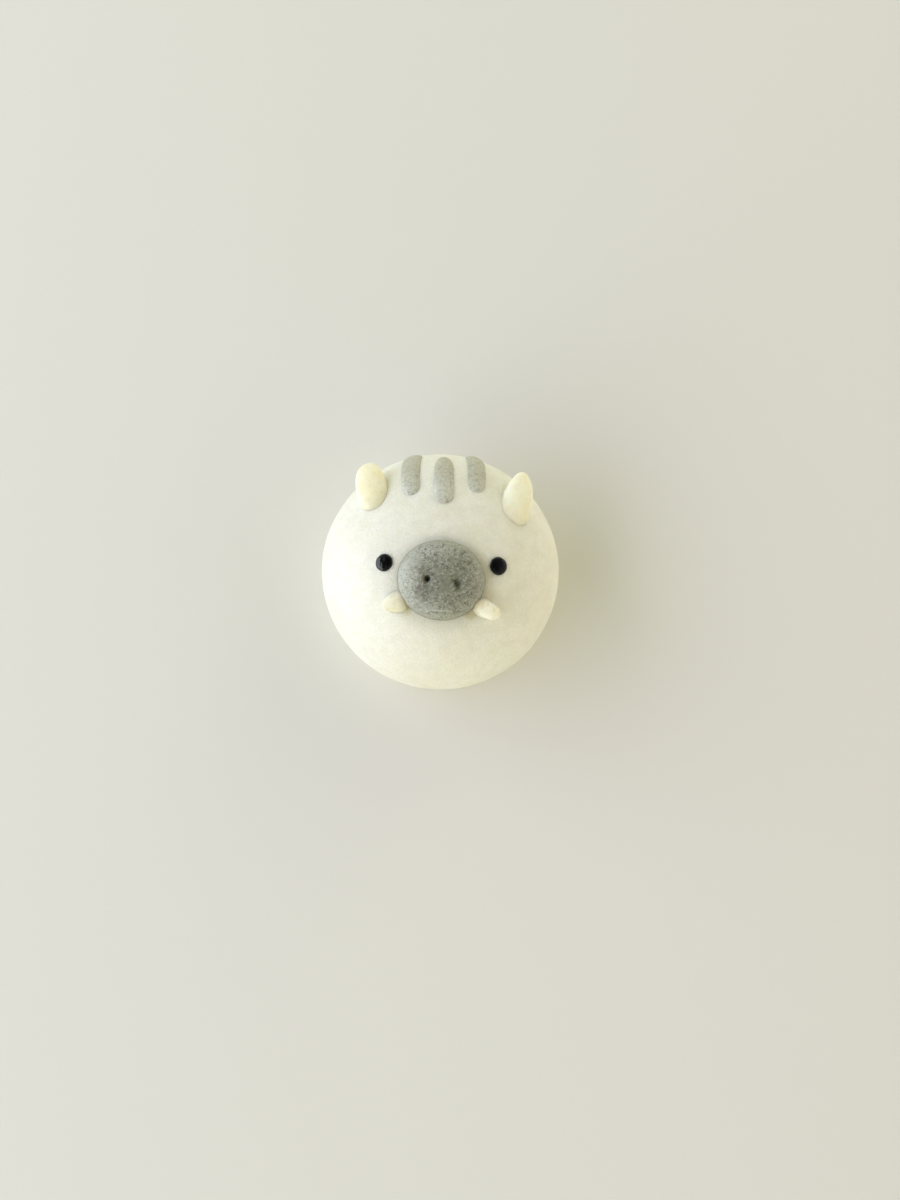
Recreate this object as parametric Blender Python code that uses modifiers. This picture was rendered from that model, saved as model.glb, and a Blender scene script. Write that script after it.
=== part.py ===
"""A boar-shaped manju: a steamed sweet bun with a face of small dough pieces.

The bun stands on its flat base. The face looks up and a little towards -Y, and the top
of the head, with its three stripes, is towards +Y. Left and right are the viewer's left
(-X) and right (+X) when the face is seen upright. Everything is in metres, +Z is up,
and the origin is the centre of the base.
"""
import math

import bmesh
import bpy
from mathutils import Matrix, Vector

MM = 0.001
HEAD_UP = math.radians(90.0)

# The bun, whose size everything else follows. Above its widest line it is a dome, a
# little fuller than an ellipsoid, and below that line the side tucks in to a flat base.
BUN_RADIUS = 24.0 * MM
BUN_HEIGHT = 30.0 * MM
EQUATOR_HEIGHT = 11.2 * MM
BASE_RADIUS = 18.2 * MM
DOME_FULLNESS = 2.15
DOME_HEIGHT = BUN_HEIGHT - EQUATOR_HEIGHT
DOME_CENTRE = Vector((0.0, 0.0, EQUATOR_HEIGHT))
STEPS_ABOVE = 20
STEPS_BELOW = 12
TURN_STEPS = 72

# The clearance between two pieces that touch, how deep a pressed piece reaches into the
# bun before its seat is cut, and the distance under which turned points merge.
GAP = 0.3 * MM
ROOT_DEPTH = 0.9 * MM
MERGE_DISTANCE = 0.005 * MM

# The snout is a ball of grey dough pressed nearly flat. Its half sizes are across and
# along the face, its front stands proud of the bun, and its widest line is lifted.
SNOUT_PLACE = (0.25 * MM, -6.0 * MM)
SNOUT_HEADING = HEAD_UP - math.radians(5.0)
SNOUT_HALF_SIZE = (8.15 * MM, 7.2 * MM)
SNOUT_PROUD = 2.8 * MM
SNOUT_LIFT = 0.6 * MM
SNOUT_FULLNESS = 2.3

# Each nostril is poked with a stick: its place on the snout's face, its half sizes, its
# turn on the face and its depth. The right one was poked at a slant and is longer.
NOSTRILS = {
    "left": {"place": (-2.7 * MM, -0.5 * MM), "half_size": (0.62 * MM, 0.66 * MM),
             "turn": 0.0, "depth": 1.3 * MM},
    "right": {"place": (2.95 * MM, -0.9 * MM), "half_size": (0.52 * MM, 1.05 * MM),
              "turn": math.radians(27.0), "depth": 0.95 * MM},
}

# The eyes are small black balls pressed to domed dots.
EYES = {
    "left": {"place": (-10.4 * MM, -2.65 * MM), "half_size": (1.62 * MM, 1.66 * MM)},
    "right": {"place": (11.0 * MM, -3.25 * MM), "half_size": (1.64 * MM, 1.74 * MM)},
}
EYE_PROUD = 0.95 * MM
EYE_LIFT = 0.15 * MM
EYE_FULLNESS = 2.2

# The stripes on the forehead are strips pressed on, each from a low end near the snout
# to a high end at the back of the head. A strip is a ball whose middle belt, a share of
# the ball each way, is drawn out. The caps of its low and high ends are in half widths.
STRIPES = {
    "left": {"low": (-5.3 * MM, 10.65 * MM), "high": (-4.85 * MM, 22.3 * MM),
             "half_width": 2.0 * MM, "caps": (1.15, 1.8)},
    "middle": {"low": (1.1 * MM, 8.35 * MM), "high": (0.6 * MM, 21.1 * MM),
               "half_width": 2.0 * MM, "caps": (1.15, 2.8)},
    "right": {"low": (7.1 * MM, 11.25 * MM), "high": (6.2 * MM, 22.2 * MM),
              "half_width": 1.95 * MM, "caps": (1.15, 1.8)},
}
STRIPE_PROUD = 0.75 * MM
STRIPE_LIFT = 0.1 * MM
DRAWN_BELT = 0.5

# The ears and tusks are rolled eggs of cream dough stuck on by their thick root. Each
# has a place on the bun, a heading in plan, a lean out of the bun's surface, half sizes
# across, along and through, a taper towards the tip, a lift of its middle, and how
# blunt its ends are, where 2 is round.
EARS = {
    "left": {"place": (-12.7 * MM, 13.2 * MM), "heading": math.radians(101.0),
             "lean": math.radians(25.0), "half_size": (3.15 * MM, 5.15 * MM, 2.5 * MM),
             "taper": 0.14, "lift": 1.5 * MM, "blunt": 2.25},
    "right": {"place": (14.5 * MM, 11.0 * MM), "heading": math.radians(77.5),
              "lean": math.radians(25.0), "half_size": (3.05 * MM, 5.45 * MM, 2.45 * MM),
              "taper": 0.2, "lift": 1.5 * MM, "blunt": 2.25},
}
TUSKS = {
    "left": {"place": (-8.25 * MM, -9.9 * MM), "heading": math.radians(198.0),
             "lean": math.radians(8.0), "half_size": (1.85 * MM, 2.55 * MM, 1.6 * MM),
             "taper": 0.3, "lift": 0.6 * MM, "blunt": 2.25},
    "right": {"place": (8.75 * MM, -11.3 * MM), "heading": math.radians(-28.0),
              "lean": math.radians(14.0), "half_size": (1.55 * MM, 2.8 * MM, 1.5 * MM),
              "taper": 0.05, "lift": 1.0 * MM, "blunt": 2.9},
}

# Segments around and rings from pole to pole of the ball that each piece starts from,
# and the turn that takes the poles to Y, for a piece that is rolled or drawn out.
SNOUT_MESH = (48, 20)
NOSTRIL_MESH = (16, 10)
EYE_MESH = (20, 12)
STRIPE_MESH = (24, 16)
EAR_MESH = (24, 16)
TUSK_MESH = (20, 12)
POLES_TO_Y = Matrix.Rotation(-HEAD_UP, 4, "X")

# Base colour and roughness of each dough.
DOUGHS = {
    "white_dough": ((0.82, 0.80, 0.66, 1.0), 0.60),
    "grey_dough": ((0.27, 0.27, 0.23, 1.0), 0.65),
    "pale_grey_dough": ((0.42, 0.42, 0.35, 1.0), 0.65),
    "cream_dough": ((0.83, 0.78, 0.55, 1.0), 0.55),
    "black_dough": ((0.01, 0.01, 0.012, 1.0), 0.30),
}


def clear_scene():
    for item in list(bpy.data.objects):
        bpy.data.objects.remove(item, do_unlink=True)


def make_collection(name):
    collection = bpy.data.collections.new(name)
    bpy.context.scene.collection.children.link(collection)
    return collection


def make_material(name):
    colour, roughness = DOUGHS[name]
    material = bpy.data.materials.new(name)
    material.use_nodes = True
    shader = material.node_tree.nodes["Principled BSDF"]
    shader.inputs["Base Color"].default_value = colour
    shader.inputs["Roughness"].default_value = roughness
    shader.inputs["Metallic"].default_value = 0.0
    material.diffuse_color = colour
    return material


def add_piece(item, parts, material):
    item.data.materials.append(material)
    parts.objects.link(item)
    return item


def add_cutter(item, cutters):
    item.hide_render = True
    item.display_type = "WIRE"
    cutters.objects.link(item)
    return item


def cut(item, cutter):
    """Take the cutter's space out of a piece."""
    modifier = item.modifiers.new("cut_" + cutter.name, "BOOLEAN")
    modifier.operation = "DIFFERENCE"
    modifier.solver = "EXACT"
    modifier.object = cutter


def bun_profile(grow):
    """Points (radius, height) of half the bun's outline, from the crown to the base."""
    points = [(0.0, BUN_HEIGHT + grow)]
    for step in range(1, STEPS_ABOVE + 1):
        angle = HEAD_UP * (1.0 - step / STEPS_ABOVE)
        across = math.cos(angle) ** (2.0 / DOME_FULLNESS)
        rise = math.sin(angle) ** (2.0 / DOME_FULLNESS)
        points.append(((BUN_RADIUS + grow) * across, EQUATOR_HEIGHT + (DOME_HEIGHT + grow) * rise))
    for step in range(1, STEPS_BELOW + 1):
        angle = HEAD_UP * step / STEPS_BELOW
        across = BASE_RADIUS + (BUN_RADIUS + grow - BASE_RADIUS) * math.cos(angle)
        points.append((across, EQUATOR_HEIGHT - (EQUATOR_HEIGHT + grow) * math.sin(angle)))
    points.append((0.0, -grow))
    return points


def turned_bun(name, grow=0.0):
    """The bun as a profile turned about Z, larger all round by grow."""
    profile = [(radius, 0.0, height) for radius, height in bun_profile(grow)]
    edges = [(index, index + 1) for index in range(len(profile) - 1)]
    mesh = bpy.data.meshes.new(name)
    mesh.from_pydata(profile, edges, [])
    item = bpy.data.objects.new(name, mesh)
    turn = item.modifiers.new("turn", "SCREW")
    turn.axis = "Z"
    turn.steps = TURN_STEPS
    turn.render_steps = TURN_STEPS
    turn.use_merge_vertices = True
    turn.merge_threshold = MERGE_DISTANCE
    turn.use_smooth_shade = True
    return item


def dome_point(direction):
    """The point of the dome that lies in a direction from the dome's centre."""
    flat = math.hypot(direction.x, direction.y) / BUN_RADIUS
    rise = max(direction.z, 0.0) / DOME_HEIGHT
    size = (flat ** DOME_FULLNESS + rise ** DOME_FULLNESS) ** (1.0 / DOME_FULLNESS)
    return DOME_CENTRE + direction / size


def dome_over(place):
    """The point of the dome straight above a place (x, y) of the plan."""
    flat = (math.hypot(*place) / BUN_RADIUS) ** DOME_FULLNESS
    return DOME_CENTRE + Vector((*place, DOME_HEIGHT * (1.0 - flat) ** (1.0 / DOME_FULLNESS)))


def dome_normal(point):
    """The direction straight out of the dome at one of its points."""
    offset = point - DOME_CENTRE
    radius = max(math.hypot(offset.x, offset.y), MERGE_DISTANCE)
    slope = (radius / BUN_RADIUS) ** (DOME_FULLNESS - 1.0) / BUN_RADIUS / radius
    rise = (max(offset.z, 0.0) / DOME_HEIGHT) ** (DOME_FULLNESS - 1.0) / DOME_HEIGHT
    return Vector((offset.x * slope, offset.y * slope, rise)).normalized()


def dome_frame(point, towards, lean=0.0):
    """Axes at a point of the dome: X across, Y towards a direction, Z outward.

    The lean tips Y out of the surface, as an ear stands off the head.
    """
    out = dome_normal(point)
    along = (towards - out * towards.dot(out)).normalized()
    across = along.cross(out)
    tip = along * math.cos(lean) + out * math.sin(lean)
    axes = Matrix((across, tip, across.cross(tip))).transposed()
    return Matrix.Translation(point) @ axes.to_4x4()


def plan_direction(heading):
    return Vector((math.cos(heading), math.sin(heading), 0.0))


def unit_ball(mesh_size):
    """A ball of radius 1, in metres, whose poles are on Z."""
    segments, rings = mesh_size
    shape = bmesh.new()
    bmesh.ops.create_uvsphere(shape, u_segments=segments, v_segments=rings, radius=1.0)
    return shape


def swell(value, fullness):
    """A sine or cosine pushed out to a fuller curve; a fullness of 2 leaves it round."""
    return math.copysign(abs(value) ** (2.0 / fullness), value)


def smooth_object(name, shape, frame):
    """An object that stands at frame, from a bmesh in the frame's own axes."""
    mesh = bpy.data.meshes.new(name)
    shape.to_mesh(mesh)
    shape.free()
    mesh.shade_smooth()
    item = bpy.data.objects.new(name, mesh)
    item.matrix_world = frame
    return item


def swell_ball(shape, fullness):
    """Push a ball's sides out to a fuller curve, seen from the side."""
    for vertex in shape.verts:
        x, y, z = vertex.co
        ring = swell(math.hypot(x, y), fullness)
        turn = math.atan2(y, x)
        vertex.co = (ring * math.cos(turn), ring * math.sin(turn), swell(z, fullness))


def draw_out(shape, half_length, caps):
    """Draw a ball out along Y to a strip, with a cap of its own length at either end.

    Where the ball's belt was, the strip's section is the same all along.
    """
    for vertex in shape.verts:
        x, y, z = vertex.co
        cap = caps[0] if y < 0.0 else caps[1]
        into_cap = max(0.0, abs(y) - DRAWN_BELT) / (1.0 - DRAWN_BELT)
        widen = math.sqrt(max(0.0, 1.0 - into_cap ** 2) / max(1.0 - y ** 2, MERGE_DISTANCE ** 2))
        reach = (half_length - cap) * min(abs(y) / DRAWN_BELT, 1.0) + cap * into_cap
        vertex.co = (x * widen, math.copysign(reach, y), z * widen)


def press_on(name, shape, frame, half_size, proud, lift):
    """Press a ball or a strip onto the dome, so that it follows the dome's curve.

    The shape is in half sizes across and along, with its heights from -1 to 1. Its
    widest line lies lift above the dome and its middle proud above it. Its lower side
    reaches into the dome, where the seat is cut.
    """
    spoke = frame.to_translation() - DOME_CENTRE
    outward = spoke.normalized()
    across_axis, along_axis, _ = frame.to_3x3().transposed()
    for vertex in shape.verts:
        across = half_size[0] * vertex.co.x
        along = half_size[1] * vertex.co.y
        reach = proud - lift if vertex.co.z > 0.0 else lift + ROOT_DEPTH
        slide = across_axis * across + along_axis * along
        slide -= outward * slide.dot(outward)
        swing = math.hypot(across, along) / spoke.length
        point = dome_point(outward * math.cos(swing) + slide.normalized() * math.sin(swing))
        vertex.co = point + dome_normal(point) * (lift + reach * vertex.co.z)
    shape.transform(frame.inverted())
    return smooth_object(name, shape, frame)


def pressed_ball(name, frame, half_size, proud, lift, fullness, mesh_size):
    shape = unit_ball(mesh_size)
    swell_ball(shape, fullness)
    return press_on(name, shape, frame, half_size, proud, lift)


def rolled_piece(name, values, mesh_size):
    """An egg of dough, its tip along its own Y, with its middle lifted off the dome."""
    frame = dome_frame(dome_over(values["place"]), plan_direction(values["heading"]), values["lean"])
    half_across, half_along, half_through = values["half_size"]
    shape = unit_ball(mesh_size)
    shape.transform(POLES_TO_Y)
    for vertex in shape.verts:
        x, y, z = vertex.co
        width = 1.0 - values["taper"] * y
        vertex.co.x = x * half_across * width
        vertex.co.y = swell(y, values["blunt"]) * half_along
        vertex.co.z = z * half_through * width + values["lift"]
    return smooth_object(name, shape, frame)


def make_bun(parts):
    return add_piece(turned_bun("bun_body"), parts, make_material("white_dough"))


def snout_ball(name, grow=0.0):
    frame = dome_frame(dome_over(SNOUT_PLACE), plan_direction(SNOUT_HEADING))
    half_size = [size + grow for size in SNOUT_HALF_SIZE]
    return pressed_ball(name, frame, half_size, SNOUT_PROUD + grow, SNOUT_LIFT, SNOUT_FULLNESS, SNOUT_MESH)


def make_snout(parts, cutters, seat):
    snout = add_piece(snout_ball("snout"), parts, make_material("grey_dough"))
    cut(snout, seat)
    for side, values in NOSTRILS.items():
        half_across, half_along = values["half_size"]
        shape = unit_ball(NOSTRIL_MESH)
        bmesh.ops.scale(shape, vec=(half_across, half_along, values["depth"]), verts=shape.verts)
        x, y = values["place"]
        on_face = Matrix.Translation((x, y, SNOUT_PROUD)) @ Matrix.Rotation(values["turn"], 4, "Z")
        poke = smooth_object("poke_" + side, shape, snout.matrix_world @ on_face)
        cut(snout, add_cutter(poke, cutters))


def make_eyes(parts, seat):
    material = make_material("black_dough")
    for side, values in EYES.items():
        frame = dome_frame(dome_over(values["place"]), plan_direction(HEAD_UP))
        eye = pressed_ball("eye_" + side, frame, values["half_size"], EYE_PROUD, EYE_LIFT,
                           EYE_FULLNESS, EYE_MESH)
        cut(add_piece(eye, parts, material), seat)


def make_stripes(parts, seat):
    material = make_material("pale_grey_dough")
    for side, values in STRIPES.items():
        low = dome_over(values["low"]) - DOME_CENTRE
        high = dome_over(values["high"]) - DOME_CENTRE
        middle = dome_point(low.normalized() + high.normalized())
        half_length = 0.5 * low.angle(high) * (middle - DOME_CENTRE).length
        frame = dome_frame(middle, high - low)
        half_width = values["half_width"]
        half_size = (half_width, half_width)
        shape = unit_ball(STRIPE_MESH)
        shape.transform(POLES_TO_Y)
        draw_out(shape, half_length / half_width, values["caps"])
        stripe = press_on("stripe_" + side, shape, frame, half_size, STRIPE_PROUD, STRIPE_LIFT)
        cut(add_piece(stripe, parts, material), seat)


def make_ears_and_tusks(parts, cutters, seat):
    material = make_material("cream_dough")
    for side, values in EARS.items():
        ear = add_piece(rolled_piece("ear_" + side, values, EAR_MESH), parts, material)
        cut(ear, seat)
    snout_room = add_cutter(snout_ball("snout_room", GAP), cutters)
    for side, values in TUSKS.items():
        tusk = add_piece(rolled_piece("tusk_" + side, values, TUSK_MESH), parts, material)
        cut(tusk, seat)
        cut(tusk, snout_room)


def main():
    clear_scene()
    parts = make_collection("boar_manju")
    cutters = make_collection("cutters")
    make_bun(parts)
    seat = add_cutter(turned_bun("bun_seat", GAP), cutters)
    make_snout(parts, cutters, seat)
    make_eyes(parts, seat)
    make_stripes(parts, seat)
    make_ears_and_tusks(parts, cutters, seat)


main()
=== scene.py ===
# %% [markdown]
# # A boar-shaped manju
# A manju is a bun of sweet dough that is steamed until its skin is white and satin. This
# one is a young boar's face: a grey snout with two poked nostrils, black dots for eyes,
# two ears and two small tusks of cream dough, and three pale grey stripes on the forehead.
# Everything is a ball, a strip or an egg of dough that was rolled by hand and pressed on.
#
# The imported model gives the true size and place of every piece. It could be coloured as
# it is, but its faces are few and flat. So this lesson remakes each piece as a finer mesh
# in the same place, and gives it a skin made of nodes.

import math

import bmesh
import bpy
import numpy as np
from mathutils import Matrix, Vector, noise


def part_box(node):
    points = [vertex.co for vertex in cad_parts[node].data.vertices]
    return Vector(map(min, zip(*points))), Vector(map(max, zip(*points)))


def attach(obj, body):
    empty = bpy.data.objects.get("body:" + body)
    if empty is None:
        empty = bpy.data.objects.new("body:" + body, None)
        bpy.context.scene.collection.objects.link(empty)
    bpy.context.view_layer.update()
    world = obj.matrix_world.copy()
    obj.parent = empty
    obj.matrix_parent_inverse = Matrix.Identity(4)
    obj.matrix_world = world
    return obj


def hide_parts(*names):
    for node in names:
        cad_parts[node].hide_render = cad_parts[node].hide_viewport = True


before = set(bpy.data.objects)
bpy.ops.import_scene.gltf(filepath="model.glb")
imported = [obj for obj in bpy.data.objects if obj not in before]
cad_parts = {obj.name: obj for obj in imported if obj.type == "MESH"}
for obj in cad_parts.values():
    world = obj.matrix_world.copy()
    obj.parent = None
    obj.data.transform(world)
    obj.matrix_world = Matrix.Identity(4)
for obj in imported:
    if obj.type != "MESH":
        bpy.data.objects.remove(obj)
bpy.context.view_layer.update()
MM = 0.001
BODY = "root"


def mm(*lengths):
    """Lengths in millimetres, as metres."""
    return tuple(length * MM for length in lengths)


print("pieces in the model:", sorted(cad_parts))

# %% [markdown]
# ## The camera
# The photograph looks steeply down on the bun from close by, as food is often shown. A
# camera could be set by eye, but so close by the perspective is strong, and both the lens
# and the distance matter. So this one is worked out: the bun's round outline falls on the
# same pixels as in the photograph.

# %% The camera of the photograph
PHOTO_WIDTH, PHOTO_HEIGHT = 900, 1200
SENSOR_WIDTH = 36.0
LENS = 33.0
CAMERA_TILT = math.radians(12.8)
CAMERA_DISTANCE = 222.4 * MM
OUTLINE_PIXEL = (440.4, 572.0)
OUTLINE_CENTRE = Vector(mm(0.0, -0.57, 13.1))

focal_pixels = PHOTO_HEIGHT * LENS / SENSOR_WIDTH
right_of_middle = OUTLINE_PIXEL[0] - PHOTO_WIDTH / 2
above_middle = PHOTO_HEIGHT / 2 - OUTLINE_PIXEL[1]
ray = Vector((right_of_middle, above_middle, -focal_pixels)).normalized()
camera = bpy.data.objects.new("camera", bpy.data.cameras.new("camera"))
camera.data.lens = LENS
camera.data.sensor_width = SENSOR_WIDTH
camera.location = OUTLINE_CENTRE - Matrix.Rotation(CAMERA_TILT, 3, "X") @ ray * CAMERA_DISTANCE
camera.rotation_euler = (CAMERA_TILT, 0.0, 0.0)
bpy.context.scene.collection.objects.link(camera)
bpy.context.scene.camera = camera
print("camera at", [round(c / MM, 1) for c in camera.location], "mm")

# %% [markdown]
# ## Nodes as sums
# A surface's colour is worked out by nodes. They could be added by hand, but that takes
# many lines. So a small class wraps a node's output and lets Python's own signs add the
# Math nodes: a value times 0.5 adds a Multiply node. A second class holds a tree of nodes
# and makes any other node from its kind, its settings and what goes into its sockets.

# %% Values
class Flow:
    """A value that flows out of a node."""

    def __init__(self, nodes, socket):
        self.nodes = nodes
        self.socket = socket

    def math(self, operation, first, second):
        return self.nodes.node("ShaderNodeMath", {"operation": operation}, {0: first, 1: second})

    def __add__(self, other):
        return self.math("ADD", self, other)

    def __sub__(self, other):
        return self.math("SUBTRACT", self, other)

    def __rsub__(self, other):
        return self.math("SUBTRACT", other, self)

    def __mul__(self, other):
        return self.math("MULTIPLY", self, other)

    def __abs__(self):
        return self.math("ABSOLUTE", self, 0.0)

    __radd__ = __add__
    __rmul__ = __mul__


print("signs that add Math nodes: + - * and abs")

# %% Trees of nodes
class Nodes:
    """A tree of nodes."""

    def __init__(self, tree):
        self.tree = tree

    def node(self, kind, settings=None, sockets=None, out=0):
        made = self.tree.nodes.new(kind)
        for name, value in (settings or {}).items():
            setattr(made, name, value)
        for name, value in (sockets or {}).items():
            self.feed(made.inputs[name], value)
        return Flow(self, made.outputs[out])

    def feed(self, socket, value):
        if isinstance(value, Flow):
            self.tree.links.new(value.socket, socket)
        else:
            socket.default_value = value

    def rise(self, value, start, end):
        """0 up to start, rising softly to 1 at end."""
        return self.node("ShaderNodeMapRange", {"interpolation_type": "SMOOTHSTEP"},
                         {"Value": value, "From Min": start, "From Max": end})

    def fall(self, value, start, end):
        """1 up to start, falling softly to 0 at end."""
        return 1 - self.rise(value, start, end)


print("one method makes any node")

# %% [markdown]
# ## The marks that dough has
# Real dough is never one flat colour. Its marks could be painted on, but paint needs a
# flat map of each piece. Here every mark is a value worked out at each point of space: a
# random one for clouds and grain, scattered dots for pores, or an egg-shaped place for a
# stain. A finish is a material with one method for each of these, and one that lays
# colours over each other, each by its own mask.

# %% Finishes
class Finish(Nodes):
    """A material, with the shader's own values set by name."""

    def __init__(self, name, values):
        self.material = bpy.data.materials.new(name)
        self.material.use_nodes = True
        super().__init__(self.material.node_tree)
        self.shader = self.tree.nodes["Principled BSDF"]
        self.place = self.node("ShaderNodeTexCoord", out="Object")
        for name, value in values.items():
            self.shader.inputs[name].default_value = value

    def wear(self, **flows):
        """Feeds the shader: colour, roughness and normal."""
        for name, value in flows.items():
            self.feed(self.shader.inputs[name.replace("_", " ").title()], value)
        print(f"{self.material.name}: {len(self.tree.nodes)} nodes")

    def grain(self, size, detail=2.0, rough=0.5, curl=0.0):
        """Soft random values from 0 to 1 with marks of that size, curled like fibres."""
        return self.node("ShaderNodeTexNoise", {"noise_dimensions": "3D"},
                         {"Vector": self.place, "Scale": 1.0 / size, "Detail": detail,
                          "Roughness": rough, "Distortion": curl})

    def marks(self, edges, **kind):
        """Grain with clearer marks: 0 below the first edge and 1 above the second."""
        return self.rise(self.grain(**kind), *edges)

    def dots(self, size, edges):
        """Scattered dots: 1 up to the first edge from a dot's middle, 0 beyond the second."""
        distance = self.node("ShaderNodeTexVoronoi", {"feature": "F1"},
                             {"Vector": self.place, "Scale": 1.0 / size}, out="Distance")
        return self.fall(distance, *edges)

    def egg(self, middle, axes, half_sizes):
        """The square of how far out a point is in an egg-shaped place, 1 at its edge."""
        total = 0.0
        for axis, half_size in zip(axes, half_sizes):
            along = Vector(axis) / half_size
            reach = self.node("ShaderNodeVectorMath", {"operation": "DOT_PRODUCT"},
                              {0: self.place, 1: along}, out="Value") - along.dot(Vector(middle))
            total = reach * reach + total
        return total

    def thickness(self):
        """How thick a pressed piece is over the bun's skin, in millimetres."""
        return self.node("ShaderNodeAttribute", {"attribute_name": "thickness"}, out="Fac")

    def blend(self, first, second, share):
        """One colour turning into another as share goes from 0 to 1."""
        return self.node("ShaderNodeMix", {"data_type": "RGBA"},
                         {0: share, 6: first, 7: second}, out=2)

    def cover(self, colour, layers):
        """Lays colours over another one by one, each by its mask and its share."""
        for mask, layer, share in layers:
            colour = self.blend(colour, layer, mask * share)
        return colour

    def relief(self, height, depth):
        """Makes a height from 0 to 1 look raised by depth."""
        return self.node("ShaderNodeBump",
                         sockets={"Height": height, "Distance": depth, "Strength": 1.0})


print("a finish can have clouds, grain, dots, eggs and relief")

# %% Tones
def tone(red, green, blue):
    """A colour as the screen shows it, from 0 to 255, as the light values that nodes use."""
    shares = [value / 255.0 for value in (red, green, blue)]
    light = [s / 12.92 if s <= 0.04045 else ((s + 0.055) / 1.055) ** 2.4 for s in shares]
    return (*light, 1.0)


print(f"the screen's middle grey gives {tone(128, 128, 128)[0]:.2f} of white's light")

# %% [markdown]
# ## Light
# The photograph was taken in a room by daylight. A broad window on the left gives most of
# the light, and the other walls give back a weaker and warmer light. One sun lamp could
# stand for the window, but its shadows would be hard, and here they are soft. Little
# comes from straight above, where the camera is held over the bun: its top is darker
# than its sides, and the eyes show the window as one low patch on their left. So the
# light is four large soft panels round the bun, a lower pane on the left that lights only
# what is glossy, and a world that is dim overhead.

# %% Light panels
LIGHT_DISTANCE = 0.9
LIGHTS = {
    "window": dict(bearing=190.0, height=31.0, size=(2.0, 0.76), power=14.1,
                   colour=(0.776, 0.792, 1.0)),
    "right_wall": dict(bearing=14.0, height=25.0, size=(2.0, 0.8), power=6.1,
                       colour=(1.0, 0.887, 0.83)),
    "near_wall": dict(bearing=270.0, height=25.0, size=(2.0, 0.8), power=3.2,
                      colour=(1.0, 0.95, 0.4)),
    "far_wall": dict(bearing=90.0, height=25.0, size=(2.0, 0.8), power=4.0,
                     colour=(0.893, 1.0, 0.69)),
    "window_pane": dict(bearing=190.0, height=18.0, size=(1.8, 0.5), power=12.0,
                        colour=(0.82, 0.95, 0.93)),
}
GLOSSY_LIGHT = "window_pane"

for name, values in LIGHTS.items():
    panel = bpy.data.objects.new(name, bpy.data.lights.new(name, "AREA"))
    panel.data.shape = "RECTANGLE"
    panel.data.size, panel.data.size_y = values["size"]
    panel.data.energy = values["power"]
    panel.data.color = values["colour"]
    raised = Matrix.Rotation(-math.radians(values["height"]), 3, "Y")
    swung = Matrix.Rotation(math.radians(values["bearing"]), 3, "Z")
    panel.location = swung @ raised @ Vector((LIGHT_DISTANCE, 0.0, 0.0))
    panel.rotation_euler = (-panel.location).to_track_quat("-Z", "Y").to_euler()
    panel.visible_camera = False
    panel.visible_glossy = name == GLOSSY_LIGHT
    panel.visible_diffuse = name != GLOSSY_LIGHT
    bpy.context.scene.collection.objects.link(panel)
print("light panels:", {name: values["power"] for name, values in LIGHTS.items()}, "W")

# %% The dim room
ROOM_LOW, ROOM_OVERHEAD = 0.34, 0.07
OVERHEAD_EDGES = (0.3, 0.9)

world = bpy.data.worlds.new("dim_room")
world.use_nodes = True
bpy.context.scene.world = world
bpy.context.scene.view_settings.view_transform = "Standard"
room = Nodes(world.node_tree)
skyward = room.node("ShaderNodeTexCoord", out="Generated")
upward = room.node("ShaderNodeSeparateXYZ", sockets={0: skyward}, out="Z")
dimming = room.rise(upward, *OVERHEAD_EDGES) * (ROOM_LOW - ROOM_OVERHEAD)
background = world.node_tree.nodes["Background"]
room.feed(background.inputs["Color"], tone(255, 255, 255))
room.feed(background.inputs["Strength"], ROOM_LOW - dimming)
print(f"room light {ROOM_LOW} low down and {ROOM_OVERHEAD} overhead")

# %% [markdown]
# ## The floor
# The bun stands on something plain, pale and matt, which sends a little light back up
# under it. It could be a thick slab with edges, but all that shows is its top, so one
# wide flat square is enough.

# %% Floor
FLOOR_SIZE = 6.0

floor_shape = bmesh.new()
bmesh.ops.create_grid(floor_shape, x_segments=1, y_segments=1, size=FLOOR_SIZE / 2)
floor = bpy.data.objects.new("floor", bpy.data.meshes.new("floor"))
floor_shape.to_mesh(floor.data)
floor_shape.free()
pale_floor = Finish("pale_floor", {"Base Color": (0.77, 0.76, 0.67, 1.0), "Roughness": 0.9})
floor.data.materials.append(pale_floor.material)
bpy.context.scene.collection.objects.link(floor)
print(f"floor {FLOOR_SIZE} m wide")

# %% [markdown]
# ## The bun's form
# Steaming blows a ball of dough up into a dome and lets its foot sag flat. It could be
# modelled by pushing and pulling a ball, but everything else is stuck onto it, so it is
# worth a formula. From the side the dome is a little fuller than half an ellipse, which a
# power between 2 and 3 gives, and below its widest line a quarter of a narrower ellipse
# tucks in to the flat base. Written as a distance from one middle point, the formula also
# says where each ball of dough touches the bun, so nothing floats or sinks.

# %% The bun's form
bun_low, bun_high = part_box("bun_body")
BUN_RADIUS = (bun_high.x - bun_low.x) / 2
BUN_HEIGHT = bun_high.z
EQUATOR_HEIGHT = 11.2 * MM
BASE_RADIUS = 18.2 * MM
DOME_FULLNESS = 2.15
DOME_HEIGHT = BUN_HEIGHT - EQUATOR_HEIGHT
DOME_CENTRE = np.array([0.0, 0.0, EQUATOR_HEIGHT])
TUCK = BUN_RADIUS - BASE_RADIUS
NEXT_TO_NOTHING = 1e-9


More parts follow.
